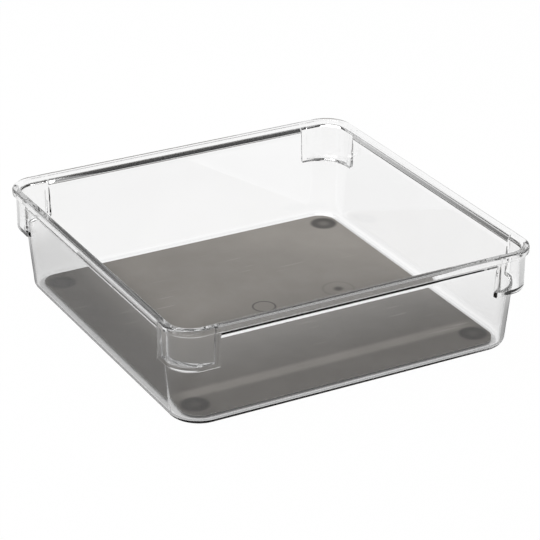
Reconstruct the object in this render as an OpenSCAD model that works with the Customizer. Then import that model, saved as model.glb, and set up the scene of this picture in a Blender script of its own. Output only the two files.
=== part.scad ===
// Stackable drawer box: a square clear tray with a soft grey lining bonded
// to its floor and four rubber feet let into its underside. The wall leans
// outward and ends in a narrow rim, whose lip stands out with a slanted
// underside. At each corner a lug runs down from the lip; it is hollow inside
// and rests on the rim of the box below.
// Millimetres, +Z up, centred on X and Y, feet standing on z = 0.

/* [Overall size] */
// Width over the rim, along X
size_x = 152.4; // [120:0.2:190]
// Depth over the rim, along Y
size_y = 152.4; // [120:0.2:190]
// Height of the tray itself, without the feet
tray_h = 41.9; // [34:0.1:60]

/* [Wall and floor] */
// Thickness of the wall
wall_t = 1.5; // [1.3:0.1:2]
// Thickness of the floor
floor_t = 1.6; // [1.4:0.1:2.6]
// How far the foot of the wall stands in from the rim
base_inset = 5.6; // [5.4:0.1:7]
// Outward lean of the wall, in degrees
wall_lean = 5.4; // [4.6:0.1:5.8]
// Radius of the wall's corner at the underside
base_r = 12.0; // [9:0.2:16]
// Rounding of the edge between wall and underside
base_edge_r = 3.0; // [2:0.1:3.5]
// Rounding between wall and floor inside
floor_edge_r = 1.5; // [1:0.1:2.5]

/* [Rim] */
// Radius of the rim's corner
rim_r = 11.5; // [9:0.1:14]
// Height of the lip's outer edge
lip_h = 2.2; // [1.8:0.1:2.8]
// How far the lip's underside slants down from there to the band
lip_fall = 1.4; // [1:0.1:1.8]
// How far the lip stands out from the band below it
lip_out = 1.9; // [1.6:0.1:2.1]
// Depth of the band's lower edge, from the top of the rim
band_h = 6.1; // [5.6:0.1:8]
// Rounding of the band's lower edge
band_edge_r = 0.35; // [0.2:0.05:0.6]
// Width of the rounding on the rim's inner edge
rim_in_w = 0.9; // [0.5:0.1:1.2]
// Depth of the rounding on the rim's inner edge
rim_in_h = 1.5; // [0.8:0.1:2]
// Rounding of the lip's top outer edge
rim_edge_r = 0.4; // [0.2:0.1:0.8]

/* [Corner lugs] */
// Length of a lug along each side, from the rim's outer corner
lug_len = 18.4; // [16:0.2:30]
// Depth of a lug's underside, from the top of the rim
lug_h = 17.4; // [13:0.2:22]
// How far a lug's face stands in from the outside of the lip
lug_in = 1.4; // [1:0.1:1.6]
// How far the hollow of a lug stands in from the outside of the lip
niche_in = 3.2; // [3:0.1:3.4]
// Thickness of a lug's ledge
ledge_t = 1.7; // [1.4:0.1:2.6]
// Thickness of a lug's end wall
lug_end_t = 2.0; // [1.6:0.1:2.6]
// Rounding of a lug's lower edge
lug_edge_r = 1.0; // [0.4:0.1:1.4]

/* [Lining] */
// Thickness of the lining
lining_t = 0.6; // [0.4:0.1:1.4]
// Flat floor left bare around the lining
lining_gap = 1.95; // [1.2:0.05:3]
// Rounding of the lining's upper edge
lining_edge_r = 0.2; // [0.1:0.05:0.4]

/* [Feet] */
// Diameter of a foot
foot_d = 10.5; // [8:0.1:14]
// How far a foot stands out under the tray
foot_out = 0.8; // [0.5:0.1:2]
// Depth of the seat that a foot is pressed into
seat_h = 0.6; // [0.4:0.1:0.9]
// Clearance between a foot and its seat, on the radius
seat_gap = 0.1; // [0.05:0.05:0.2]
// Diameter of the dimple under a foot
dimple_d = 4.6; // [3:0.1:6]
// Depth of the dimple under a foot
dimple_h = 0.4; // [0.2:0.1:0.6]
// Rounding of a foot's lower edge
foot_edge_r = 0.25; // [0.1:0.05:0.35]
// Foot centre in from the foot of the wall, along X
foot_in_x = 11.1; // [9:0.1:24]
// Foot centre in from the foot of the wall, along Y
foot_in_y = 13.5; // [9:0.1:24]

/* [Moulding marks] */
// Diameter of the ring around the gate at the centre of the underside
gate_d = 9.2; // [6:0.1:12]
// Width of the ring's groove
groove_w = 0.5; // [0.4:0.1:0.8]
// Depth of the marks
mark_h = 0.3; // [0.15:0.05:0.5]
// Distance of the second mark from the centre, along X
pip_x = 33.6; // [22:0.1:40]
// Diameter of the second mark's pip
pip_d = 3.8; // [2.5:0.1:5]
// Diameter of the shallow ring around the pip
pip_ring_d = 13.0; // [10:0.1:16]

/* [Hidden] */
$fn = 64;
EPS = 0.01;
ARC_STEPS = 4;

wall_slope = tan(wall_lean);
wall_across = wall_t / cos(wall_lean);
// centres of the wall's corners and of the rim's corners
wall_cx = size_x / 2 - base_inset - base_r;
wall_cy = size_y / 2 - base_inset - base_r;
rim_cx = size_x / 2 - rim_r;
rim_cy = size_y / 2 - rim_r;

band_z = tray_h - band_h;
lip_z = tray_h - lip_h;
lug_z = tray_h - lug_h;
ledge_z = lug_z + ledge_t;
niche_r = rim_r - niche_in;

// the wall's radius about its corner centres, outside and inside
function wall_out_r(z) = base_r + z * wall_slope;
function wall_in_r(z) = wall_out_r(z) - wall_across;

lining_r = wall_in_r(floor_t) - floor_edge_r - lining_gap;
foot_x = size_x / 2 - base_inset - foot_in_x;
foot_y = size_y / 2 - base_inset - foot_in_y;

CLEAR = [0.84, 0.87, 0.88, 0.45];
GREY = [0.47, 0.455, 0.435];
DARK = [0.2, 0.2, 0.2];

// points of a quarter round of radius r about c, from angle a0 to a1
function arc(c, r, a0, a1) = [for (i = [0:ARC_STEPS])
    let (a = a0 + (a1 - a0) * i / ARC_STEPS) c + r * [cos(a), sin(a)]];

// A block with round corners: its outline is the profile [[radius, z], ...],
// turned about the four corner centres and run straight between them.
module round_block(cx, cy, profile) {
    n = len(profile);
    function across(c) = concat(
        [for (p = profile) [c + p[0], p[1]]],
        [for (i = [n - 1:-1:0]) [-c - profile[i][0], profile[i][1]]]);
    axis = [[0, profile[n - 1][1]], [0, profile[0][1]]];
    rotate([90, 0, 0])
        linear_extrude(2 * cy, center = true) polygon(across(cx));
    rotate([90, 0, 90])
        linear_extrude(2 * cx, center = true) polygon(across(cy));
    for (sx = [-1, 1], sy = [-1, 1])
        translate([sx * cx, sy * cy, 0])
            rotate_extrude() polygon(concat(profile, axis));
}

// the four corner zones of the tray, each len long from the rim's corner
module corner_zones(len, z0, z1) {
    for (sx = [-1, 1], sy = [-1, 1])
        translate([sx > 0 ? size_x / 2 - len : -size_x / 2,
                   sy > 0 ? size_y / 2 - len : -size_y / 2, z0])
            cube([len, len, z1 - z0]);
}

// the round inner edge of the rim, from radius r upward and outward
function inner_edge(r) = concat(
    [for (i = [0:ARC_STEPS]) let (a = 90 * i / ARC_STEPS)
        [r + rim_in_w * (1 - cos(a)), tray_h - rim_in_h * (1 - sin(a))]],
    [[r + rim_in_w, tray_h + 1]]);

module wall_outside() {
    foot_r = wall_out_r(base_edge_r) - base_edge_r;
    round_block(wall_cx, wall_cy, concat(
        arc([foot_r, base_edge_r], base_edge_r, -90, 0),
        [[wall_out_r(lip_z), lip_z]]));
}

// the band and the lip above it, with its slanted underside
module rim() {
    band_r = rim_r - lip_out;
    round_block(rim_cx, rim_cy, concat(
        arc([band_r - band_edge_r, band_z + band_edge_r],
            band_edge_r, -90, 0),
        [[band_r, lip_z - lip_fall], [rim_r, lip_z]],
        arc([rim_r - rim_edge_r, tray_h - rim_edge_r], rim_edge_r, 0, 90)));
}

module lugs() {
    face_r = rim_r - lug_in;
    intersection() {
        round_block(rim_cx, rim_cy, concat(
            arc([face_r - lug_edge_r, lug_z + lug_edge_r],
                lug_edge_r, -90, 0),
            [[face_r, lip_z]]));
        corner_zones(lug_len, lug_z, lip_z);
    }
}

module wall_inside() {
    round_r = wall_in_r(floor_t + floor_edge_r) - floor_edge_r;
    round_block(wall_cx, wall_cy, concat(
        arc([round_r, floor_t + floor_edge_r], floor_edge_r, -90, 0),
        inner_edge(wall_in_r(tray_h - rim_in_h))));
}

module niches() {
    intersection() {
        round_block(rim_cx, rim_cy,
            concat([[niche_r, ledge_z]], inner_edge(niche_r)));
        corner_zones(lug_len - lug_end_t, ledge_z, tray_h + 1);
    }
}

module foot_places() {
    for (sx = [-1, 1], sy = [-1, 1])
        translate([sx * foot_x, sy * foot_y, 0]) children();
}

module ring_groove(d) {
    difference() {
        translate([0, 0, -EPS]) cylinder(d = d, h = mark_h + EPS);
        translate([0, 0, -1])
            cylinder(d = d - 2 * groove_w, h = mark_h + 2);
    }
}

module marks() {
    ring_groove(gate_d);
    translate([pip_x, 0, 0]) {
        ring_groove(pip_ring_d);
        translate([0, 0, -EPS]) cylinder(d = pip_d, h = mark_h + EPS);
    }
}

module tray() {
    color(CLEAR)
    translate([0, 0, foot_out])
    difference() {
        union() {
            wall_outside();
            rim();
            lugs();
        }
        wall_inside();
        niches();
        foot_places() translate([0, 0, -EPS])
            cylinder(r = foot_d / 2 + seat_gap, h = seat_h + EPS);
        marks();
    }
}

module lining() {
    top = floor_t + lining_t;
    color(GREY)
    translate([0, 0, foot_out])
        round_block(wall_cx, wall_cy, concat(
            [[lining_r, floor_t]],
            arc([lining_r - lining_edge_r, top - lining_edge_r],
                lining_edge_r, 0, 90)));
}

// one rubber foot, standing on z = 0, with a dimple under it
module foot() {
    r = foot_d / 2;
    top = foot_out + seat_h;
    color(DARK)
        rotate_extrude() polygon(concat(
            [[0, dimple_h], [dimple_d / 2 - dimple_h, dimple_h],
             [dimple_d / 2, 0]],
            arc([r - foot_edge_r, foot_edge_r], foot_edge_r, -90, 0),
            [[r, top], [0, top]]));
}

module foot_front_left() { translate([-foot_x, -foot_y, 0]) foot(); }
module foot_front_right() { translate([foot_x, -foot_y, 0]) foot(); }
module foot_back_left() { translate([-foot_x, foot_y, 0]) foot(); }
module foot_back_right() { translate([foot_x, foot_y, 0]) foot(); }

tray();
lining();
foot_front_left();
foot_front_right();
foot_back_left();
foot_back_right();
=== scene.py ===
"""A square clear plastic drawer box that stacks on its own kind.

The moulded tray is swept round its four corners from one section, the soft
lining lies in its floor, and four rubber feet are pressed into its underside.
Laid out as an add-on and run as a script. Sizes in the code are metres.
"""

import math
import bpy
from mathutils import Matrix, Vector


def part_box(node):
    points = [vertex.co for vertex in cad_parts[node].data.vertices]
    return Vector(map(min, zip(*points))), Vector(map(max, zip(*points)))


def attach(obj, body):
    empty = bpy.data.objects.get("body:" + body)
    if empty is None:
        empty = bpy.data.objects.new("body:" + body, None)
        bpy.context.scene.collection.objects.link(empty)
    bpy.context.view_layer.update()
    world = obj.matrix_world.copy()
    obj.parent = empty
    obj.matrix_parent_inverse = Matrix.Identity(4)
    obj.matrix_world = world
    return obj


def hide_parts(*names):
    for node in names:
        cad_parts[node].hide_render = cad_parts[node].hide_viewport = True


bl_info = {
    "name": "Stackable drawer box",
    "version": (1, 0, 0),
    "blender": (4, 5, 0),
    "location": "View3D > Sidebar > Drawer box",
    "description": "Builds a clear drawer box with its lining, feet and stage",
    "category": "Add Mesh",
}

from functools import partial

import bmesh
import bpy
from bpy.props import (FloatProperty, FloatVectorProperty, IntProperty,
                       PointerProperty)
from mathutils import Matrix, Vector

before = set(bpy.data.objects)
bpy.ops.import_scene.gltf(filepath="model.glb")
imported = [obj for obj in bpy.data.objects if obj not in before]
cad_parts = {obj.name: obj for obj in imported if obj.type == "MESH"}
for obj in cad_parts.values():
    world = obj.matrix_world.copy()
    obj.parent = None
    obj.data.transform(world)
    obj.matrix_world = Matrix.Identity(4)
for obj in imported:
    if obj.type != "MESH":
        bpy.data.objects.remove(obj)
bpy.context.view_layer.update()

MM = 0.001
# the CAD's pieces, each as the low and the high corner of its box
TRAY_LOW, TRAY_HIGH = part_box("tray")
LINING_LOW, LINING_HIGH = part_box("lining")
FOOT_LOW, FOOT_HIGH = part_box("foot_front_right")
FEET = ("foot_front_left", "foot_front_right", "foot_back_left",
        "foot_back_right")
# moulding marks under the floor, as radii: the groove round the gate in its
# middle, and a groove round a pip that stands at PIP_X
GATE_GROOVE = (4.6 * MM, 4.1 * MM)
PIP_GROOVE = (6.5 * MM, 6.0 * MM)
PIP_X, PIP_RADIUS, PIP_COLLAR = 33.6 * MM, 1.9 * MM, 3.0 * MM
# faces that meet at less than this angle are shaded as one
SMOOTH_ANGLE = math.radians(35)
# angles of the points on a small quarter round
QUARTER = [math.pi / 2 * i / 4 for i in range(5)]

# kinds of node that are used over and over, and two of their settings
MATH, VECTOR_MATH = "ShaderNodeMath", "ShaderNodeVectorMath"
MIX, STEP, NOISE = "ShaderNodeMix", "ShaderNodeMapRange", "ShaderNodeTexNoise"
SOFT = {"interpolation_type": "SMOOTHSTEP"}
COLOUR = {"data_type": "RGBA"}


# ---------------------------------------------------------------- colours

def linear(hex_colour):
    """An sRGB hex colour as the linear red, green and blue Blender wants."""
    parts = [int(hex_colour[i:i + 2], 16) / 255 for i in (1, 3, 5)]
    return [c / 12.92 if c <= 0.04045 else ((c + 0.055) / 1.055) ** 2.4
            for c in parts]


# ------------------------------------------------------------- properties

def length(name, about, default, low=0.0, high=0.5):
    """A size in metres, shown in the scene's unit."""
    return FloatProperty(name=name, description=about, default=default,
                         min=low, max=high, precision=5, unit="LENGTH",
                         subtype="DISTANCE")


def colour(name, about, hex_colour):
    """A colour, written as sRGB hex and kept as linear values."""
    return FloatVectorProperty(name=name, description=about, size=3, min=0.0,
                               max=1.0, subtype="COLOR",
                               default=linear(hex_colour))


class TrayShape(bpy.types.PropertyGroup):
    """Sizes of the moulded tray, measured from its underside. Insets are
    measured from the outside of the rim, depths from its top."""
    half: length("Half width", "From the middle to the rim's outside",
                 TRAY_HIGH.x)
    height: length("Height", "From the underside to the top of the rim",
                   TRAY_HIGH.z - TRAY_LOW.z)
    wall: length("Wall thickness", "Thickness of the leaning wall", 1.5 * MM)
    floor: length("Floor thickness", "Thickness of the floor", 1.6 * MM)
    lean: FloatProperty(name="Wall lean", description="Outward lean",
                        default=math.radians(5.4), subtype="ANGLE",
                        unit="ROTATION")
    base_inset: length("Foot of the wall", "How far the wall stands in from "
                       "the rim at the underside", 5.6 * MM)
    base_radius: length("Base corner", "Corner radius at the underside",
                        12.0 * MM)
    base_round: length("Base edge", "Rounding under the wall", 3.0 * MM)
    floor_round: length("Floor edge", "Rounding between wall and floor",
                        1.5 * MM)
    rim_radius: length("Rim corner", "Corner radius of the rim", 11.5 * MM)
    lip_height: length("Lip height", "Height of the lip's outer edge",
                       2.4 * MM)
    lip_round: length("Lip edge", "Rounding of the lip's upper edge",
                      0.9 * MM)
    groove_inset: length("Groove inset", "Inset of the groove that the "
                         "lip's slanted underside runs into", 2.15 * MM)
    groove_depth: length("Groove depth", "Depth of the groove", 3.95 * MM)
    band_inset: length("Band inset", "Inset of the band's face", 1.6 * MM)
    band_top: length("Band top", "Depth of the band's upper edge", 4.5 * MM)
    band_foot: length("Band foot", "Depth of the band's lower edge",
                      4.7 * MM)
    band_end: length("Band end", "Depth at which the band's foot meets the "
                     "wall", 6.05 * MM)
    groove_round: length("Groove rounding", "Rounding inside the groove",
                         0.15 * MM)
    band_round: length("Band rounding", "Rounding of the band's lower edge",
                       0.12 * MM)
    inner_width: length("Inner rounding width", "Width of the rounding on "
                        "the rim's inner edge", 0.9 * MM)
    inner_depth: length("Inner rounding depth", "Depth of that rounding",
                        1.5 * MM)
    lug_length: length("Lug length", "Length of a lug along each side",
                       18.4 * MM)
    lug_depth: length("Lug depth", "Depth of a lug's underside", 17.4 * MM)
    lug_inset: length("Lug inset", "Inset of a lug's face", 1.4 * MM)
    niche_inset: length("Niche inset", "Inset of a lug's hollow", 3.2 * MM)
    lug_ledge: length("Ledge", "Thickness of the ledge inside a lug",
                      1.7 * MM)
    lug_end: length("Lug end", "Thickness of a lug's end wall", 2.0 * MM)
    lug_round: length("Lug edge", "Rounding of a lug's lower edge", 1.0 * MM)
    blend: length("Lug end rounding", "Width over which a lug's end rises",
                  0.5 * MM)
    seat: length("Seat", "Radius of the seat of a foot",
                 (FOOT_HIGH.x - FOOT_LOW.x) / 2 + 0.1 * MM)
    seat_depth: length("Seat depth", "Depth of the seat of a foot",
                       FOOT_HIGH.z - TRAY_LOW.z)
    mark_depth: length("Mark depth", "Depth of the moulding marks",
                       0.3 * MM)
    fillet: length("Small rounding", "Rounding of the remaining edges",
                   0.1 * MM)
    corner_steps: IntProperty(name="Corner steps", description="Columns in "
                              "half a corner", default=36, min=4, max=48)


class LiningShape(bpy.types.PropertyGroup):
    """Sizes of the lining."""
    half: length("Half width", "From the middle to the lining's edge",
                 LINING_HIGH.x)
    corner: length("Corner", "Corner radius of the lining", 7.19 * MM)
    thickness: length("Thickness", "Thickness of the lining",
                      LINING_HIGH.z - LINING_LOW.z)
    edge: length("Edge", "Rounding of the upper edge", 0.2 * MM)
    sunk: length("Bond", "How far the lining sinks into the floor's skin",
                 0.02 * MM)
    undercut: length("Undercut", "How far the cut edge slants in below",
                     0.7 * MM)


class FootShape(bpy.types.PropertyGroup):
    """Sizes of one foot, and where the four stand."""
    along_x: length("Place along X", "Feet's distance from the middle",
                    (FOOT_LOW.x + FOOT_HIGH.x) / 2)
    along_y: length("Place along Y", "Feet's distance from the middle",
                    -(FOOT_LOW.y + FOOT_HIGH.y) / 2)
    radius: length("Radius", "Radius of a foot",
                   (FOOT_HIGH.x - FOOT_LOW.x) / 2)
    top: length("Top", "Height of the foot's upper face", FOOT_HIGH.z)
    dimple: length("Dimple", "Radius of the dimple under the foot", 2.3 * MM)
    dimple_depth: length("Dimple depth", "Depth of the dimple", 0.4 * MM)
    edge: length("Edge", "Rounding of the lower edge", 0.25 * MM)


class BoxColours(bpy.types.PropertyGroup):
    """Colours of the tray, the lining, the feet and the stage."""
    plastic: colour("Clear plastic", "Tint of the tray", "#FFFFFF")
    lining: colour("Lining", "Grey of the soft lining", "#85817C")
    # painted shade: the lining's colour toward the front and the left
    lining_painted_shade: colour("Shaded lining", "Lining near the front",
                         "#5A5753")
    lining_disc: colour("Pressed disc", "Lining above a foot", "#302E2D")
    # painted light on the lining's upright cut edge
    lining_edge_painted_light: colour("Cut edge", "Edge of the lining", "#B5B2AE")
    scratch: colour("Scratches", "Fine scratches in the lining", "#C9C6C2")
    foot: colour("Foot", "Dark rubber", "#3A3938")
    floor: colour("Floor", "Pale studio floor", "#FFFFFF")


class StudioSettings(bpy.types.PropertyGroup):
    """Camera, floor and light."""
    distance: length("Camera distance", "From the box", 0.919030, high=5.0)
    sensor: FloatProperty(name="Sensor", description="Width of the sensor",
                          default=36.0, unit="CAMERA")
    # 2375.368 pixels, in a frame that is 540 wide
    focal: FloatProperty(name="Lens", description="Focal length",
                         default=2375.368 / 540 * 36, unit="CAMERA")
    azimuth: FloatProperty(name="Azimuth", description="Camera's turn",
                           default=math.radians(-28.774), subtype="ANGLE",
                           unit="ROTATION")
    elevation: FloatProperty(name="Elevation", description="Camera's height",
                             default=math.radians(25.611), subtype="ANGLE",
                             unit="ROTATION")
    roll: FloatProperty(name="Roll", description="Camera's roll",
                        default=math.radians(0.271), subtype="ANGLE",
                        unit="ROTATION")
    aim: FloatVectorProperty(name="Aim", description="Shift of the aim, "
                             "right and up", size=2,
                             default=(2.233 * MM, -6.290 * MM),
                             unit="LENGTH")
    aim_height: length("Aim height", "Height that the camera turns about",
                       25.8 * MM)
    floor_reach: length("Floor", "From the middle to the floor's edge", 3.0,
                        high=10.0)
    floor_right: length("Floor at the right", "The same at the right, where "
                        "it is more, so that the floor's diagonal runs clear "
                        "of the box", 3.6, high=10.0)
    room: FloatProperty(name="Room light", description="Light that the white "
                        "room throws on things", default=0.55, min=0.0)
    lamp_power: FloatProperty(name="Softbox", description="Power of the lamp",
                              default=5.0, min=0.0, unit="POWER")
    lamp_size: length("Softbox width", "Width of the lamp", 0.6, high=5.0)
    lamp_place: FloatVectorProperty(name="Softbox place", description="Where "
                                    "the lamp hangs, turned to the box",
                                    size=3, default=(-0.1, 0.15, 0.9),
                                    subtype="TRANSLATION", unit="LENGTH")


# ------------------------------------------------------------ node helper

def add_node(tree, kind, *values, **settings):
    """Adds a node. settings are its own properties, or inputs by name with
    spaces as underscores; values fill the inputs in use, in their order. A
    value is a number, a colour, a socket, or a node, which stands for its
    first output in use."""
    node = tree.nodes.new(kind)
    own = [key for key in settings if hasattr(node, key)]
    for key in own:
        setattr(node, key, settings[key])
    pairs = list(zip([i for i in node.inputs if i.enabled], values))
    pairs += [(node.inputs[key.replace("_", " ")], value)
              for key, value in settings.items() if key not in own]
    for socket, value in pairs:
        if isinstance(value, bpy.types.Node):
            value = next(o for o in value.outputs if o.enabled)
        if isinstance(value, bpy.types.NodeSocket):
            tree.links.new(value, socket)
        elif socket.type == "RGBA":
            socket.default_value = (*value[:3], 1)
        else:
            socket.default_value = value
    return node


def new_material(name):
    """A material with an empty tree, and its tree."""
    material = bpy.data.materials.new(name)
    material.use_nodes = True
    material.node_tree.nodes.clear()
    return material, material.node_tree


# ---------------------------------------------------------- the tray's rule

def bend(before, corner, after, radius, steps):
    """Points of a round corner between two straight lines, as steps + 1
    places. Where the line runs straight on, they are spread along it."""
    back = (Vector(before) - Vector(corner)).normalized()
    on = (Vector(after) - Vector(corner)).normalized()
    half = back.angle(on) / 2
    nearly_straight = math.radians(89.5)
    if half > nearly_straight:
        return [Vector(corner) + on * (radius * (2 * i / steps - 1))
                for i in range(steps + 1)]
    start = Vector(corner) + back * (radius / math.tan(half))
    middle = Vector(corner) + (back + on).normalized() * (
        radius / math.sin(half))
    turn = math.pi - 2 * half
    if back.cross(on) > 0:
        turn = -turn
    return [middle + Matrix.Rotation(turn * i / steps, 2) @ (start - middle)
            for i in range(steps + 1)]


def tray_section(s):
    """The tray's section as rows that run from the underside, up the outside,
    over the rim and down the inside to the floor. A row is the ring's place
    away from the lugs, its place at a lug, and whether it is an inner one.
    A place is (0 on the wall's corners or 1 on the rim's, radius, height)."""
    top = s.height
    slope = math.tan(s.lean)
    centres = (s.half - s.base_inset - s.base_radius, s.half - s.rim_radius)
    lug_z = top - s.lug_depth
    ledge_z = lug_z + s.lug_ledge
    low = s.floor
    f = s.fillet

    def outer(z):
        return s.half - s.base_inset + z * slope

    def inner(z):
        return outer(z) - s.wall / math.cos(s.lean)

    def wall(z, radius=f, of=outer):
        return (0, of(z), z, radius)

    def rim(inset, depth, radius=f):
        return (1, s.half - inset, top - depth, radius)

    rows = []

    def run(sides, lugs, steps, is_inner=False):
        """Rows for two lines of corners, one away from the lugs and one at a
        lug, with so many steps at each corner. The first and last corner of
        a line only give its direction."""
        for side, lug, count in zip(range(1, len(sides) - 1),
                                    range(1, len(lugs) - 1), steps):
            places = []
            for line, at in ((sides, side), (lugs, lug)):
                flag, radius = line[at][0], line[at][3]
                points = bend(line[at - 1][1:3], line[at][1:3],
                              line[at + 1][1:3], radius, count)
                places.append([(flag, x - centres[flag], z)
                               for x, z in points])
            rows.extend((a, b, is_inner) for a, b in zip(*places))

    # up the outside; a corner on a straight stretch, such as mid_wall, only
    # keeps the faces there short
    middle = (0, 0, 0, 0)
    mid_wall = wall(10 * MM, 4 * MM)
    under_band = wall(top - s.band_end - 6 * MM, 2 * MM)
    mid_lug = rim(s.lug_inset, s.lug_depth - 5 * MM, 2 * MM)
    under_lip = rim(s.lug_inset, s.lip_height + 0.9 * MM)
    sides = [middle, wall(0, s.base_round), mid_wall, wall(lug_z - f),
             wall(lug_z + s.lug_round, s.lug_round / 2), under_band,
             wall(top - s.band_end),
             rim(s.band_inset, s.band_foot, s.band_round),
             rim(s.band_inset, s.band_top),
             rim(s.groove_inset, s.groove_depth, s.groove_round),
             rim(0, s.lip_height), rim(0, 0, s.lip_round),
             rim(s.niche_inset, 0)]
    lugs = [middle, wall(0, s.base_round), mid_wall, wall(lug_z),
            rim(s.lug_inset, s.lug_depth, s.lug_round), mid_lug,
            rim(s.lug_inset, s.band_end), rim(s.lug_inset, s.band_foot),
            rim(s.lug_inset, s.band_top), under_lip,
            rim(0, s.lip_height), rim(0, 0, s.lip_round),
            rim(s.niche_inset, 0)]
    run(sides, lugs, (12, 2, 3, 7, 2, 3, 5, 3, 4, 3, 8))
    # the round inner edge of the rim
    below = top - s.inner_depth
    niche_foot = (s.half - s.niche_inset) - centres[1]
    wall_foot = inner(below) - centres[0]
    steps = 8
    for i in range(steps + 1):
        a = math.radians(90 - 90 * i / steps)
        out = s.inner_width * (1 - math.cos(a))
        z = top - s.inner_depth * (1 - math.sin(a))
        rows.append(((0, wall_foot + out, z), (1, niche_foot + out, z), True))
    # down the inside
    middle = (0, 0, low, 0)
    mid_wall = wall(12 * MM, 4 * MM, inner)
    under_rim = 4 * MM
    sides = [wall(top, of=inner), wall(below - under_rim, 1 * MM, inner),
             wall(ledge_z + f, f, inner), wall(ledge_z - 3 * f, f, inner),
             mid_wall, wall(low, s.floor_round, inner), middle]
    lugs = [rim(s.niche_inset, 0),
            rim(s.niche_inset, s.inner_depth + under_rim, 1 * MM),
            (1, s.half - s.niche_inset, ledge_z, f), wall(ledge_z, f, inner),
            mid_wall, wall(low, s.floor_round, inner), middle]
    run(sides, lugs, (2, 4, 4, 2, 10), True)
    return rows


def tray_columns(s):
    """Columns of one side of the box, from its middle to the middle of the
    corner at its right: how far along the side, then the turn on the rim's
    corner. Columns stand close together where a lug or its niche ends."""
    corner = s.half - s.rim_radius
    lug = s.half - s.lug_length
    niche = lug + s.lug_end
    straight = {0.0, 0.2 * lug, 0.4 * lug, 0.6 * lug, 0.8 * lug, 0.94 * lug}
    for end in (lug, niche):
        straight |= {end + s.blend * (i / 8 - 0.5) for i in range(9)}
        straight |= {end - s.blend, end + s.blend}
    wall_corner = s.half - s.base_inset - s.base_radius
    straight |= {wall_corner + (corner - wall_corner) * i / 8
                 for i in range(8)}
    turns = [45 * i / s.corner_steps for i in range(s.corner_steps + 1)]
    return ([(x, None) for x in sorted(straight)]
            + [(corner, a) for a in turns])


def section_mesh(s):
    """The section as a line of vertices, one for each row, that carries the
    row's places as attributes for the sweep."""
    rows = tray_section(s)
    mesh = bpy.data.meshes.new("tray_section")
    mesh.from_pydata([(side[1], 0, side[2]) for side, _, _ in rows],
                     [(i, i + 1) for i in range(len(rows) - 1)], [])
    values = {
        "side_rim": [side[0] for side, _, _ in rows],
        "side_radius": [side[1] for side, _, _ in rows],
        "side_height": [side[2] for side, _, _ in rows],
        "lug_rim": [lug[0] for _, lug, _ in rows],
        "lug_radius": [lug[1] for _, lug, _ in rows],
        "lug_height": [lug[2] for _, lug, _ in rows],
        "inner": [float(inner) for _, _, inner in rows],
    }
    for name, column in values.items():
        attribute = mesh.attributes.new(name, "FLOAT", "POINT")
        attribute.data.foreach_set("value", [float(v) for v in column])
    return mesh


def round_mesh(s):
    """The way round the box as a line of vertices, one for each column. A
    column's place on a ring is base + corner * centre + out * radius, once
    for rings on the wall's corners and once for rings on the rim's."""
    wall_corner = s.half - s.base_inset - s.base_radius
    rim_corner = s.half - s.rim_radius
    reach = s.half - s.lug_inset
    half_side = []
    for along, turn in tray_columns(s):
        if turn is None:
            rim = (Vector((along, 0, 0)), Vector((0, -1, 0)),
                   Vector((0, -1, 0)))
            point = Vector((along, -reach, 0))
        else:
            a = math.radians(turn)
            out = Vector((math.sin(a), -math.cos(a), 0))
            rim = (Vector(), Vector((1, -1, 0)), out)
            point = (Vector((rim_corner, -rim_corner, 0))
                     + out * (s.rim_radius - s.lug_inset))
        if point.x <= wall_corner:
            wall = (Vector((point.x, 0, 0)), Vector((0, -1, 0)),
                    Vector((0, -1, 0)))
        else:
            out = (point - Vector((wall_corner, -wall_corner, 0))).normalized()
            wall = (Vector(), Vector((1, -1, 0)), out)
        half_side.append((point.x if turn is None
                          else rim_corner + s.rim_radius * a, wall, rim))
    mirror = Matrix(((0, -1, 0), (-1, 0, 0), (0, 0, 1)))
    corner = half_side + [
        (along, tuple(mirror @ v for v in wall),
         tuple(mirror @ v for v in rim))
        for along, wall, rim in reversed(half_side[1:-1])]
    columns = []
    for quarter_turn in range(4):
        turn = Matrix.Rotation(math.radians(90 * quarter_turn), 3, "Z")
        columns += [(along, tuple(turn @ v for v in wall),
                     tuple(turn @ v for v in rim))
                    for along, wall, rim in corner]
    columns.append(columns[0])
    mesh = bpy.data.meshes.new("tray_round")
    mesh.from_pydata([wall[0] + wall[1] * wall_corner + wall[2]
                      for _, wall, _ in columns],
                     [(i, i + 1) for i in range(len(columns) - 1)], [])
    attribute = mesh.attributes.new("along", "FLOAT", "POINT")
    attribute.data.foreach_set("value", [c[0] for c in columns])
    for name, place, part in (
            ("wall_base", 1, 0), ("wall_corner", 1, 1), ("wall_out", 1, 2),
            ("rim_base", 2, 0), ("rim_corner", 2, 1), ("rim_out", 2, 2)):
        attribute = mesh.attributes.new(name, "FLOAT_VECTOR", "POINT")
        flat = [x for c in columns for x in c[place][part]]
        attribute.data.foreach_set("vector", flat)
    return mesh


def new_rule(name, result, inputs):
    """A Geometry Nodes tree with named inputs, given as name: kind, and one
    named result. Hands back the tree and its inputs' sockets."""
    tree = bpy.data.node_groups.new(name, "GeometryNodeTree")
    for label, kind in inputs.items():
        socket = tree.interface.new_socket(
            name=label, in_out="INPUT", socket_type="NodeSocket" + kind)
        if kind == "Float":
            socket.subtype = "DISTANCE"
    tree.interface.new_socket(name=result, in_out="OUTPUT",
                              socket_type="NodeSocketGeometry")
    return tree, add_node(tree, "NodeGroupInput").outputs


def finish_rule(tree, geometry, material):
    """Ends a tree: real faces, in their material."""
    real = add_node(tree, "GeometryNodeRealizeInstances", geometry)
    add_node(tree, "NodeGroupOutput", add_node(
        tree, "GeometryNodeSetMaterial", real, Material=material))
    return tree


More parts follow.
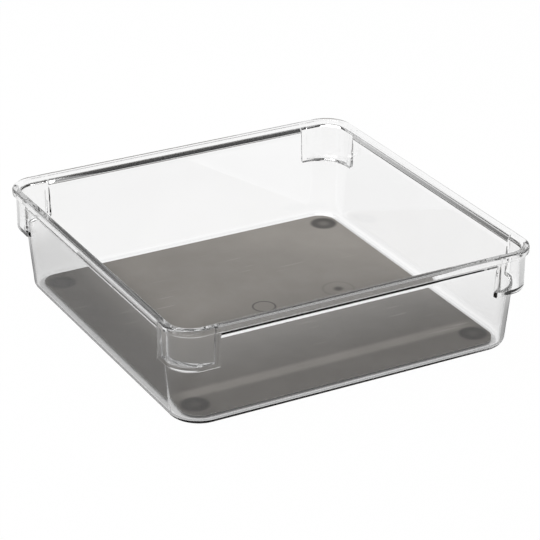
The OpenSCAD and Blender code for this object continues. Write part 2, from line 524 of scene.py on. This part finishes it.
def sweep_tree():
    """The rule that every ring of the tray follows. It lays a grid of rows
    and columns, looks up each row's places and each column's way round, and
    moves the point from the plain wall to the lug where a lug stands."""
    tree, given = new_rule("Sweep the tray", "Tray", {
        "Section": "Geometry", "Way round": "Object",
        "Wall corner centre": "Float", "Rim corner centre": "Float",
        "Lug start": "Float", "Niche start": "Float",
        "Lug end rounding": "Float", "Material": "Material"})
    add = partial(add_node, tree)
    round_line = add("GeometryNodeObjectInfo",
                     Object=given["Way round"]).outputs["Geometry"]

    columns, rows = (
        add("GeometryNodeAttributeDomainSize", line).outputs["Point Count"]
        for line in (round_line, given["Section"]))
    grid = add("GeometryNodeMeshGrid", 1.0, 1.0, columns, rows)
    index = add("GeometryNodeInputIndex")
    column = add(MATH, add(MATH, index, rows, operation="DIVIDE"),
                 operation="FLOOR")
    row = add(MATH, index, add(MATH, column, rows, operation="MULTIPLY"),
              operation="SUBTRACT")

    def look_up(geometry, name, at, kind="FLOAT"):
        values = add("GeometryNodeInputNamedAttribute", name, data_type=kind)
        return add("GeometryNodeSampleIndex", Geometry=geometry,
                   Value=values, Index=at, data_type=kind)

    def of_row(name):
        return look_up(given["Section"], name, row)

    def of_column(name):
        return look_up(round_line, name, column, "FLOAT_VECTOR")

    ways = []
    for kind, centre in (("wall", given["Wall corner centre"]),
                         ("rim", given["Rim corner centre"])):
        corner = add(VECTOR_MATH, of_column(kind + "_corner"), centre,
                     operation="SCALE")
        ways.append((add(VECTOR_MATH, of_column(kind + "_base"), corner,
                         operation="ADD"), of_column(kind + "_out")))

    def place(which):
        """Where a point is, away from the lugs or at one."""
        radius = of_row(which + "_radius")
        spots = [add(VECTOR_MATH, middle, add(VECTOR_MATH, out, radius,
                                              operation="SCALE"),
                     operation="ADD") for middle, out in ways]
        flat = add(MIX, of_row(which + "_rim"), *spots, data_type="VECTOR")
        height = add("ShaderNodeCombineXYZ", Z=of_row(which + "_height"))
        return add(VECTOR_MATH, flat, height, operation="ADD")

    start = add(MIX, of_row("inner"), given["Lug start"],
                given["Niche start"])
    half_blend = add(MATH, given["Lug end rounding"], 0.5,
                     operation="MULTIPLY")
    rise = add(STEP, look_up(round_line, "along", column),
               add(MATH, start, half_blend, operation="SUBTRACT"),
               add(MATH, start, half_blend, operation="ADD"), **SOFT)
    shaped = add("GeometryNodeSetPosition", Geometry=grid, Position=add(
        MIX, rise, place("side"), place("lug"), data_type="VECTOR"))
    # the last column falls on the first, and is welded to it
    closed = add("GeometryNodeMergeByDistance", shaped, Distance=0.002 * MM)
    smooth = add("GeometryNodeSetShadeSmooth", closed)
    return finish_rule(tree, smooth, given["Material"])


def turned(shell, section, x=0.0, y=0.0, count=48):
    """Faces turned about an upright line at a place, between the (radius,
    height) rings of a section, and the rings' vertices."""
    rings = [[shell.verts.new((x + r * math.cos(a), y + r * math.sin(a), z))
              for a in (2 * math.pi * i / count for i in range(count))]
             for r, z in section]
    for ring, following in zip(rings, rings[1:]):
        for i in range(count):
            j = (i + 1) % count
            shell.faces.new((ring[i], ring[j], following[j], following[i]))
    return rings


def stamp(shell, x, y, section):
    """A turned mark in the underside, from its first ring inwards, with a
    cap on the last. The first ring's edges are handed back, for the plate
    around it."""
    rings = turned(shell, section, x, y)
    shell.faces.new(rings[-1])
    edges = [[shell.edges.get(pair) for pair in zip(ring, ring[1:] + ring[:1])]
             for ring in rings]
    for edge in sum(edges, []):
        edge.smooth = False
    return edges[0]


def new_object(name, data):
    """An object at the origin, in the scene."""
    made = bpy.data.objects.new(name, data)
    bpy.context.scene.collection.objects.link(made)
    return made


def set_inputs(modifier, values):
    """Sets a Geometry Nodes modifier's inputs by their names."""
    for item in modifier.node_group.interface.items_tree:
        if item.item_type == "SOCKET" and item.name in values:
            modifier[item.identifier] = values[item.name]


def settle(made):
    """Turns an object's evaluated shape into its plain mesh."""
    graph = bpy.context.evaluated_depsgraph_get()
    mesh = bpy.data.meshes.new_from_object(made.evaluated_get(graph))
    made.modifiers.clear()
    made.data = mesh
    mesh.name = made.name


def weigh_normals(made):
    """Weighs the normals by the size of the faces, so that flats look flat
    beside their roundings, and settles the object."""
    weighted = made.modifiers.new("Weighted normals", "WEIGHTED_NORMAL")
    weighted.weight = 100
    weighted.keep_sharp = True
    settle(made)


# -------------------------------------------------------------- materials

def line_at(add, value, at, core, fade, strength, rest=0.0):
    """A soft line where a value is at a given one: full over the core on
    both sides of it, and down to the rest where it has faded."""
    off = add(MATH, add(MATH, value, at, operation="SUBTRACT"),
              operation="ABSOLUTE")
    return add(STEP, off, core, fade, strength, rest, **SOFT)


def clear_polystyrene(tint):
    """Injection-moulded clear polystyrene from a polished mould: glass
    bright, with a refractive index of 1.59 and hardly any tint. Faint flow
    clouds 30 mm wide tint it, and a haze of fine rubs dulls it here and
    there. Light from the lamps passes it, less 7 %, as it does thin walls."""
    material, tree = new_material("clear_polystyrene_moulded")
    add = partial(add_node, tree)
    place = add("ShaderNodeTexCoord").outputs["Object"]
    cloud = add(NOISE, place, Scale=1 / (30 * MM))
    shade = add(MIX, add(STEP, cloud, 0.35, 0.65, **SOFT), tint,
                [c * 0.99 for c in tint], **COLOUR)
    rubs = add(NOISE, place, Scale=1 / (6 * MM), Detail=6.0, Roughness=0.6)
    haze = add(STEP, rubs, 0.6, 0.8, 0.0, 0.012, **SOFT)
    plastic = add("ShaderNodeBsdfPrincipled", Base_Color=shade,
                  Roughness=haze, IOR=1.59, Transmission_Weight=1.0)
    path = add("ShaderNodeLightPath").outputs
    passed = add(MATH, path["Is Shadow Ray"], path["Is Diffuse Ray"],
                 operation="MAXIMUM")
    let_by = add("ShaderNodeBsdfTransparent", (0.93, 0.93, 0.93))
    add("ShaderNodeOutputMaterial", add("ShaderNodeMixShader", passed,
                                        plastic, let_by))
    return material


def soft_lining_rubber(colours, foot):
    """Thermoplastic rubber sheet with a satin skin. Painted shade darkens it
    toward the front and the left, painted light makes it paler toward the far
    corner and in a band along the front, and its cut edge is painted paler. It
    is cloudy over 25 mm, and lightly scratched. Its grain is drawn half a
    millimetre wide, coarser than the real one, so that it shows.
    Above each foot it is pressed dark, with a paler middle, and the moulding
    marks under the floor print through as a thin ring, a small spot and a
    faint wide ring."""
    material, tree = new_material("thermoplastic_rubber_lining")
    add = partial(add_node, tree)
    place = add("ShaderNodeTexCoord").outputs["Object"]
    x, y, _ = add("ShaderNodeSeparateXYZ", place).outputs
    flat = add(VECTOR_MATH, place, (1, 1, 0), operation="MULTIPLY")

    # painted shade: darker to the front and to the left; painted light: paler
    # toward the far corner
    front = add(STEP, y, -32 * MM, 16 * MM, 0.85, 0.0, **SOFT)
    left = add(STEP, x, -60 * MM, -26 * MM, 1.0, 0.0, **SOFT)
    base = add(MIX, add(MATH, front, left, operation="MAXIMUM"),
               colours.lining, colours.lining_painted_shade, **COLOUR)
    far = add(STEP, add(MATH, x, y, operation="ADD"), 30 * MM, 110 * MM,
              **SOFT)
    base = add(MIX, far, base, [c * 1.28 for c in colours.lining], **COLOUR)
    # a painted sheen: a paler band of painted light along the front, weaker at
    # its ends
    painted_sheen = line_at(add, y, -49.4 * MM, 1.2 * MM, 4.4 * MM, 0.75)
    ends = line_at(add, x, 0.0, 56 * MM, 66 * MM, 1.0, 0.3)
    base = add(MIX, add(MATH, painted_sheen, ends, operation="MULTIPLY"), base,
               colours.lining, **COLOUR)
    # pressed discs above the feet, each with a paler middle
    from_foot = add(VECTOR_MATH, add(VECTOR_MATH, flat, operation="ABSOLUTE"),
                    (foot.along_x, foot.along_y, 0), operation="DISTANCE")
    disc = add(STEP, from_foot, 4.4 * MM, 6.4 * MM, 0.82, 0.0, **SOFT)
    middle = add(STEP, from_foot, 0.5 * MM, 3.6 * MM, 0.62, 1.0, **SOFT)
    base = add(MIX, add(MATH, disc, middle, operation="MULTIPLY"), base,
               colours.lining_disc, **COLOUR)
    # the gate's thin ring, and the pip's spot in its faint wide ring
    from_gate = add(VECTOR_MATH, flat, operation="LENGTH")
    from_pip = add(VECTOR_MATH, flat, (PIP_X, 0, 0), operation="DISTANCE")
    marks = add(STEP, from_pip, 0.6 * MM, 2.9 * MM, 0.75, 0.0, **SOFT)
    for ring in (
            line_at(add, from_gate, 4.45 * MM, 0.1 * MM, 0.6 * MM, 0.7),
            line_at(add, from_pip, 6.2 * MM, 0.1 * MM, 0.9 * MM, 0.16)):
        marks = add(MATH, marks, ring, operation="MAXIMUM")
    base = add(MIX, marks, base, colours.lining_disc, **COLOUR)
    # painted light: the upright cut edge is painted paler, to lift the shade
    # it takes
    upright = add("ShaderNodeSeparateXYZ", add(
        "ShaderNodeNewGeometry").outputs["Normal"]).outputs["Z"]
    cut = line_at(add, upright, 0.0, 0.2, 0.9, 1.0)
    base = add(MIX, cut, base, colours.lining_edge_painted_light, **COLOUR)
    # clouds and grain
    cloud = add(STEP, add(NOISE, place, Scale=1 / (25 * MM)), 0.3, 0.7,
                0.96, 1.04, **SOFT)
    grain = add(NOISE, place, Scale=1 / (0.5 * MM), Detail=3.0,
                Roughness=0.7)
    speckle = add(STEP, grain, 0.25, 0.75, 0.95, 1.05, **SOFT)
    toned = add(VECTOR_MATH, base, add(MATH, cloud, speckle,
                                       operation="MULTIPLY"),
                operation="SCALE")
    # fine pale scratches along X and across it, in patches
    scratches = []
    for turn in (0.35, 1.2):
        drawn_out = add("ShaderNodeMapping", place, Rotation=(0, 0, turn),
                        Scale=(0.14, 1.8, 1.0))
        lines = add(NOISE, drawn_out, Scale=1 / (3 * MM), Detail=1.0,
                    Roughness=0.3)
        scratches.append(add(STEP, lines, 0.70, 0.76, **SOFT))
    patch = add(NOISE, place, Scale=1 / (40 * MM), Detail=0.0)
    patch = add(STEP, patch, 0.48, 0.66, 0.0, 0.15, **SOFT)
    fine = add(MATH, *scratches, operation="MAXIMUM")
    final = add(MIX, add(MATH, fine, patch, operation="MULTIPLY"), toned,
                colours.scratch, **COLOUR)
    skin = add(NOISE, place, Scale=1 / (9 * MM), Detail=4.0)
    rubber = add("ShaderNodeBsdfPrincipled", Base_Color=final, IOR=1.45,
                 Normal=add("ShaderNodeBump", Height=grain, Strength=0.25,
                            Distance=0.04 * MM),
                 Roughness=add(STEP, skin, 0.3, 0.7, 0.5, 0.62, **SOFT))
    add("ShaderNodeOutputMaterial", rubber)
    return material


def foot_rubber(base):
    """Moulded rubber foot: dark and matt, with a 0.4 mm grain and dust that
    greys it in clouds 3 mm wide."""
    material, tree = new_material("moulded_rubber_foot")
    add = partial(add_node, tree)
    place = add("ShaderNodeTexCoord").outputs["Object"]
    dust = add(NOISE, place, Scale=1 / (3 * MM), Detail=4.0, Roughness=0.6)
    dust = add(STEP, dust, 0.4, 0.75, 0.0, 0.5, **SOFT)
    grain = add(NOISE, place, Scale=1 / (0.4 * MM), Detail=3.0,
                Roughness=0.7)
    shade = add(MIX, dust, base, [c * 1.9 for c in base], **COLOUR)
    rubber = add("ShaderNodeBsdfPrincipled", Base_Color=shade, IOR=1.5,
                 Normal=add("ShaderNodeBump", Height=grain, Strength=0.4,
                            Distance=0.05 * MM),
                 Roughness=add(STEP, grain, 0.3, 0.7, 0.65, 0.8, **SOFT))
    add("ShaderNodeOutputMaterial", rubber)
    return material


# -------------------------------------------------------------- operators

class DRAWERBOX_OT_tray(bpy.types.Operator):
    """Build the clear moulded tray with its rim and corner lugs"""
    bl_idname = "drawerbox.tray"
    bl_label = "Clear tray"

    def execute(self, context):
        shape = context.scene.drawer_tray
        way = new_object("tray_way_round", round_mesh(shape))
        tray = new_object("clear_tray", section_mesh(shape))
        sweep = tray.modifiers.new("Sweep", "NODES")
        sweep.node_group = sweep_tree()
        set_inputs(sweep, {
            "Way round": way,
            "Wall corner centre": shape.half - shape.base_inset
            - shape.base_radius,
            "Rim corner centre": shape.half - shape.rim_radius,
            "Lug start": shape.half - shape.lug_length,
            "Niche start": shape.half - shape.lug_length + shape.lug_end,
            "Lug end rounding": shape.blend,
            "Material": clear_polystyrene(
                context.scene.drawer_colours.plastic),
        })
        settle(tray)
        bpy.data.objects.remove(way)
        self.close(tray.data, shape, context.scene.drawer_foot)
        tray.data.transform(Matrix.Translation((0, 0, TRAY_LOW.z)))
        weigh_normals(tray)
        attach(tray, "root")
        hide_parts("tray")
        return {"FINISHED"}

    @staticmethod
    def close(mesh, shape, foot):
        """Closes the floor and the underside, stamps the seats of the feet
        and the moulding marks into the underside, and turns faces out."""
        shell = bmesh.new()
        shell.from_mesh(mesh)
        # the sweep is open at the floor, and low down at the underside
        bare = [e for e in shell.edges if e.is_boundary]
        low = [e for e in bare if max(v.co.z for v in e.verts) < 0.1 * MM]
        bmesh.ops.holes_fill(shell, sides=0,
                             edges=[e for e in bare if e not in low])
        seat = ((shape.seat, 0), (shape.seat, shape.seat_depth))
        for x, y in ((-1, -1), (1, -1), (-1, 1), (1, 1)):
            low += stamp(shell, x * foot.along_x, y * foot.along_y, seat)
        deep = shape.mark_depth

        def groove(outer, inner):
            return (outer, 0), (outer, deep), (inner, deep), (inner, 0)

        low += stamp(shell, 0, 0, groove(*GATE_GROOVE))
        low += stamp(shell, PIP_X, 0, (
            *groove(*PIP_GROOVE), (PIP_COLLAR, 0), (PIP_RADIUS, 0),
            (PIP_RADIUS, deep)))
        for face in shell.faces:
            face.smooth = True
        bmesh.ops.triangle_fill(shell, edges=low, use_beauty=True)
        bmesh.ops.recalc_face_normals(shell, faces=shell.faces)
        shell.to_mesh(mesh)
        shell.free()


class DRAWERBOX_OT_lining(bpy.types.Operator):
    """Build the soft grey lining that covers the floor"""
    bl_idname = "drawerbox.lining"
    bl_label = "Lining"

    def execute(self, context):
        scene = context.scene
        s = scene.drawer_lining
        low, high = LINING_LOW.z - s.sunk, LINING_LOW.z + s.thickness
        profile = [(s.undercut, low)] + [
            (s.edge * (1 - math.cos(a)), high - s.edge * (1 - math.sin(a)))
            for a in QUARTER]
        rows = [[(x, y, z) for x, y in self.outline(s, inset)]
                for inset, z in profile]
        count = len(rows[0])
        faces = [(r * count + i, r * count + (i + 1) % count,
                  (r + 1) * count + (i + 1) % count, (r + 1) * count + i)
                 for r in range(len(rows) - 1) for i in range(count)]
        last = (len(rows) - 1) * count
        faces += [tuple(range(count - 1, -1, -1)),
                  tuple(range(last, last + count))]
        mesh = bpy.data.meshes.new("soft_lining")
        mesh.from_pydata([p for row in rows for p in row], [], faces)
        mesh.shade_smooth()
        mesh.set_sharp_from_angle(angle=SMOOTH_ANGLE)
        mesh.materials.append(soft_lining_rubber(scene.drawer_colours,
                                                 scene.drawer_foot))
        lining = new_object("soft_lining", mesh)
        weigh_normals(lining)
        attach(lining, "root")
        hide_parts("lining")
        return {"FINISHED"}

    @staticmethod
    def outline(s, inset, steps=10):
        """The lining's outline, set in by so much."""
        centre = s.half - s.corner
        radius = s.corner - inset
        return [(sx * centre + radius * math.cos(a),
                 sy * centre + radius * math.sin(a))
                for quarter, (sx, sy) in enumerate(
                    ((1, 1), (-1, 1), (-1, -1), (1, -1)))
                for a in (math.pi / 2 * (quarter + i / steps)
                          for i in range(steps + 1))]


def feet_tree():
    """The rule for the feet: one foot on each corner of an oblong."""
    tree, given = new_rule("Set out the feet", "Feet", {
        "Foot": "Geometry", "Along X": "Float", "Along Y": "Float",
        "Material": "Material"})
    sides = [add_node(tree, MATH, given[name], 2.0, operation="MULTIPLY")
             for name in ("Along X", "Along Y")]
    oblong = add_node(tree, "GeometryNodeMeshGrid", *sides, 2, 2)
    feet = add_node(tree, "GeometryNodeInstanceOnPoints", Points=oblong,
                    Instance=given["Foot"])
    return finish_rule(tree, feet, given["Material"])


class DRAWERBOX_OT_feet(bpy.types.Operator):
    """Build the four rubber feet"""
    bl_idname = "drawerbox.feet"
    bl_label = "Feet"

    def execute(self, context):
        scene = context.scene
        s = scene.drawer_foot
        feet = new_object("rubber_feet", self.one_foot(s))
        rule = feet.modifiers.new("Set out", "NODES")
        rule.node_group = feet_tree()
        set_inputs(rule, {"Along X": s.along_x, "Along Y": s.along_y,
                          "Material": foot_rubber(
                              scene.drawer_colours.foot)})
        settle(feet)
        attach(feet, "root")
        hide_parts(*FEET)
        return {"FINISHED"}

    @staticmethod
    def one_foot(s):
        """A foot about the Z axis, from the dimple's middle outwards and up
        to the middle of its upper face."""
        depth = s.dimple_depth
        section = [(s.dimple - depth, depth), (s.dimple, 0)]
        section += [(s.radius - s.edge * (1 - math.sin(a)),
                     s.edge * (1 - math.cos(a))) for a in QUARTER]
        section += [(s.radius, s.top)]
        shell = bmesh.new()
        rings = turned(shell, section)
        shell.faces.new(rings[0])
        shell.faces.new(rings[-1])
        bmesh.ops.recalc_face_normals(shell, faces=shell.faces)
        for edge in shell.edges:
            edge.smooth = edge.calc_face_angle() < SMOOTH_ANGLE
        for face in shell.faces:
            face.smooth = True
        mesh = bpy.data.meshes.new("rubber_foot")
        shell.to_mesh(mesh)
        shell.free()
        return mesh


class DRAWERBOX_OT_stage(bpy.types.Operator):
    """Set the pale floor, the soft light and the camera"""
    bl_idname = "drawerbox.stage"
    bl_label = "Stage"

    def execute(self, context):
        self.set_floor(context.scene)
        self.set_light(context.scene)
        self.set_camera(context.scene)
        context.scene.view_settings.view_transform = "Standard"
        # rays cross many clear faces in the rim and the lugs
        cycles = context.scene.cycles
        cycles.use_denoising = True
        cycles.max_bounces = 32
        cycles.transmission_bounces = 32
        cycles.glossy_bounces = 16
        return {"FINISHED"}

    @staticmethod
    def set_floor(scene):
        """A white floor. It shows white to the camera and through the
        plastic; where the box mirrors it, its glow is dimmed near the box, a
        painted shade of the box on the floor."""
        s = scene.drawer_studio
        mesh = bpy.data.meshes.new("studio_floor")
        reach, right = s.floor_reach, s.floor_right
        mesh.from_pydata([(-reach, -reach, 0), (right, -reach, 0),
                          (right, reach, 0), (-reach, reach, 0)],
                         [], [(0, 1, 2, 3)])
        floor = new_object("studio_floor", mesh)
        material, tree = new_material("white_studio_floor")
        add = partial(add_node, tree)
        path = add("ShaderNodeLightPath").outputs
        place = add("ShaderNodeTexCoord").outputs["Object"]
        x, y, _ = add("ShaderNodeSeparateXYZ", place).outputs
        away = add(MATH, add(MATH, x, operation="ABSOLUTE"),
                   add(MATH, y, operation="ABSOLUTE"), operation="MAXIMUM")
        # painted shade: the floor's glow is dimmed near the box, as the walls
        # mirror it, on their outside and from within them
        outside = add(STEP, away, 88 * MM, 118 * MM, **SOFT)
        within = add(STEP, away, 95 * MM, 260 * MM, 0.45, 1.0, **SOFT)
        on_outside = add(MATH, path["Transmission Depth"], 0.5,
                         operation="LESS_THAN")
        mirrored = add(MATH, path["Glossy Depth"], 0.5,
                       operation="GREATER_THAN")
        strength = add(MIX, mirrored, 1.0,
                       add(MIX, on_outside, within, outside))
        glow = add("ShaderNodeEmission", Strength=strength)
        paper = add("ShaderNodeBsdfDiffuse", scene.drawer_colours.floor)
        # it shows itself to most rays, and throws some light back up under
        # the box; the rest of it is paper, which takes the box's shadow
        seen = path["Is Camera Ray"]
        for kind in ("Is Glossy Ray", "Is Transmission Ray"):
            seen = add(MATH, seen, path[kind], operation="MAXIMUM")
        share = add(MATH, add(MATH, seen, 0.97, operation="MULTIPLY"),
                    add(MATH, path["Is Diffuse Ray"], 0.35,
                        operation="MULTIPLY"), operation="MAXIMUM")
        upper = add("ShaderNodeMixShader", share, paper, glow)
        # from below the floor lets the box be seen
        below = add("ShaderNodeNewGeometry").outputs["Backfacing"]
        add("ShaderNodeOutputMaterial", add(
            "ShaderNodeMixShader", below, upper,
            add("ShaderNodeBsdfTransparent")))
        mesh.materials.append(material)

    @staticmethod
    def set_light(scene):
        """A white room that gets dark overhead, and one large softbox."""
        s = scene.drawer_studio
        world = bpy.data.worlds.new("studio")
        scene.world = world
        world.use_nodes = True
        world.node_tree.nodes.clear()
        add = partial(add_node, world.node_tree)
        path = add("ShaderNodeLightPath").outputs
        up = add("ShaderNodeSeparateXYZ", add(
            "ShaderNodeTexCoord").outputs["Generated"]).outputs["Z"]
        room = add(STEP, up, 0.55, 0.7, 1.0, 0.04, **SOFT)
        mirrored = add(MATH, path["Is Glossy Ray"],
                       path["Is Transmission Ray"], operation="MAXIMUM")
        shown = add(MIX, mirrored, 1.0, room)
        strength = add(MIX, path["Is Diffuse Ray"], shown, s.room)
        add("ShaderNodeOutputWorld", add("ShaderNodeBackground",
                                         Strength=strength))
        lamp = bpy.data.lights.new("top_softbox", "AREA")
        lamp.shape = "RECTANGLE"
        lamp.size = lamp.size_y = s.lamp_size
        lamp.energy = s.lamp_power
        top = new_object("top_softbox", lamp)
        top.location = s.lamp_place
        top.rotation_euler = (
            -top.location).to_track_quat("-Z", "Y").to_euler()

    @staticmethod
    def set_camera(scene):
        """The camera, turned about the box by its azimuth and elevation,
        rolled, and moved aside to the photograph's framing."""
        s = scene.drawer_studio
        a, e, r = s.azimuth, s.elevation, s.roll
        back = Vector((math.sin(a) * math.cos(e), -math.cos(a) * math.cos(e),
                       math.sin(e)))
        right = Vector((math.cos(a), math.sin(a), 0))
        up = back.cross(right)
        across = right * math.cos(r) + up * math.sin(r)
        upright = up * math.cos(r) - right * math.sin(r)
        data = bpy.data.cameras.new("camera")
        data.sensor_width, data.lens = s.sensor, s.focal
        data.clip_start, data.clip_end = 0.05, 20.0
        camera = new_object("camera", data)
        place = (back * s.distance + right * s.aim[0] + up * s.aim[1]
                 + Vector((0, 0, s.aim_height)))
        turn = Matrix((across, upright, back)).transposed().to_4x4()
        camera.matrix_world = Matrix.Translation(place) @ turn
        scene.camera = camera


class VIEW3D_PT_drawer_box(bpy.types.Panel):
    """Sizes and colours of the drawer box, and the steps that build it"""
    bl_label = "Drawer box"
    bl_idname = "VIEW3D_PT_drawer_box"
    bl_space_type = "VIEW_3D"
    bl_region_type = "UI"
    bl_category = "Drawer box"

    def draw(self, context):
        scene, layout = context.scene, self.layout
        for kind in STEPS:
            layout.operator(kind.bl_idname)
        for name in GROUPS:
            group, box = getattr(scene, name), layout.box()
            for field in group.__annotations__:
                box.prop(group, field)


STEPS = (DRAWERBOX_OT_stage, DRAWERBOX_OT_tray, DRAWERBOX_OT_lining,
         DRAWERBOX_OT_feet)
GROUPS = {"drawer_tray": TrayShape, "drawer_lining": LiningShape,
          "drawer_foot": FootShape, "drawer_colours": BoxColours,
          "drawer_studio": StudioSettings}


def register():
    """Registers the classes, and hangs the settings on the scene."""
    for kind in (*GROUPS.values(), *STEPS, VIEW3D_PT_drawer_box):
        bpy.utils.register_class(kind)
    for name, kind in GROUPS.items():
        setattr(bpy.types.Scene, name, PointerProperty(type=kind))


def unregister():
    """Takes the settings and the classes away again."""
    for name in GROUPS:
        delattr(bpy.types.Scene, name)
    for kind in (VIEW3D_PT_drawer_box, *reversed(STEPS),
                 *reversed(GROUPS.values())):
        bpy.utils.unregister_class(kind)


def main():
    """Builds every piece in order."""
    register()
    bpy.ops.drawerbox.stage()
    bpy.ops.drawerbox.tray()
    bpy.ops.drawerbox.lining()
    bpy.ops.drawerbox.feet()


if __name__ == "__main__":
    main()
